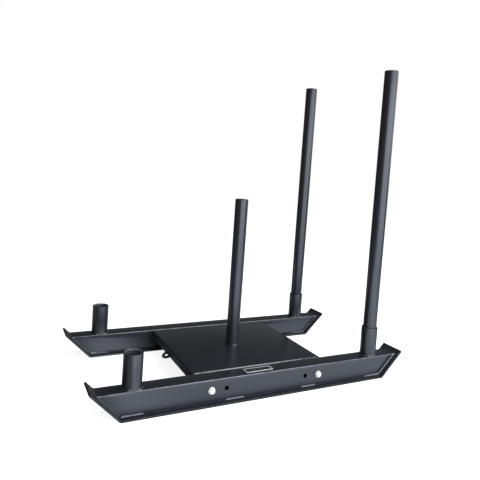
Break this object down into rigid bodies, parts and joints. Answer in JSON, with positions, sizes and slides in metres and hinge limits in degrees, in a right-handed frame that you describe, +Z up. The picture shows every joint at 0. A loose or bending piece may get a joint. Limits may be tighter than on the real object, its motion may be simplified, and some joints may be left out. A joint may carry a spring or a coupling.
{
  "type": "weight sled",
  "caption": "Push and pull weight sled: bent skid runners, bolted deck with a weight horn, tow loop, and push poles that lift out of upright sleeves.",
  "frame": {"origin": "on the floor at the middle of the sled", "axes": "+X towards the front, the end with the tow loop; +Y towards the sled's left; +Z up"},
  "size_m": [1.186, 0.608, 1.1649],
  "materials": {
    "frame_paint": "satin black powder coat",
    "cap_plastic": "moulded, fine grain",
    "zinc": "bright zinc plate",
    "plate_metal": "silver with a dark blank field"
  },
  "bodies": {
    "sled": {"left_skid_plate": "frame_paint", "left_runner_tube": "frame_paint", "left_front_sleeve": "frame_paint", "left_rear_sleeve": "frame_paint", "right_skid_plate": "frame_paint", "right_runner_tube": "frame_paint", "right_front_sleeve": "frame_paint", "right_rear_sleeve": "frame_paint", "deck": "frame_paint", "weight_horn": "frame_paint", "horn_cap": "cap_plastic", "tow_loop": "frame_paint", "nameplate": "plate_metal", "left_front_bolt": "zinc", "left_front_bolt_washer": "zinc", "left_front_nut": "zinc", "left_front_nut_washer": "zinc", "left_rear_bolt": "zinc", "left_rear_bolt_washer": "zinc", "left_rear_nut": "zinc", "left_rear_nut_washer": "zinc", "right_front_bolt": "zinc", "right_front_bolt_washer": "zinc", "right_front_nut": "zinc", "right_front_nut_washer": "zinc", "right_rear_bolt": "zinc", "right_rear_bolt_washer": "zinc", "right_rear_nut": "zinc", "right_rear_nut_washer": "zinc"},
    "left_pole": {"left_push_pole": "frame_paint", "left_pole_cap": "cap_plastic"},
    "right_pole": {"right_push_pole": "frame_paint", "right_pole_cap": "cap_plastic"}
  },
  "joints": [
    {"name": "left_pole_lift", "type": "slide", "parent": "sled", "child": "left_pole", "axis": [0, 0, 1], "range_m": [0, 0.13]},
    {"name": "right_pole_lift", "type": "slide", "parent": "sled", "child": "right_pole", "axis": [0, 0, 1], "range_m": [0, 0.13]}
  ]
}
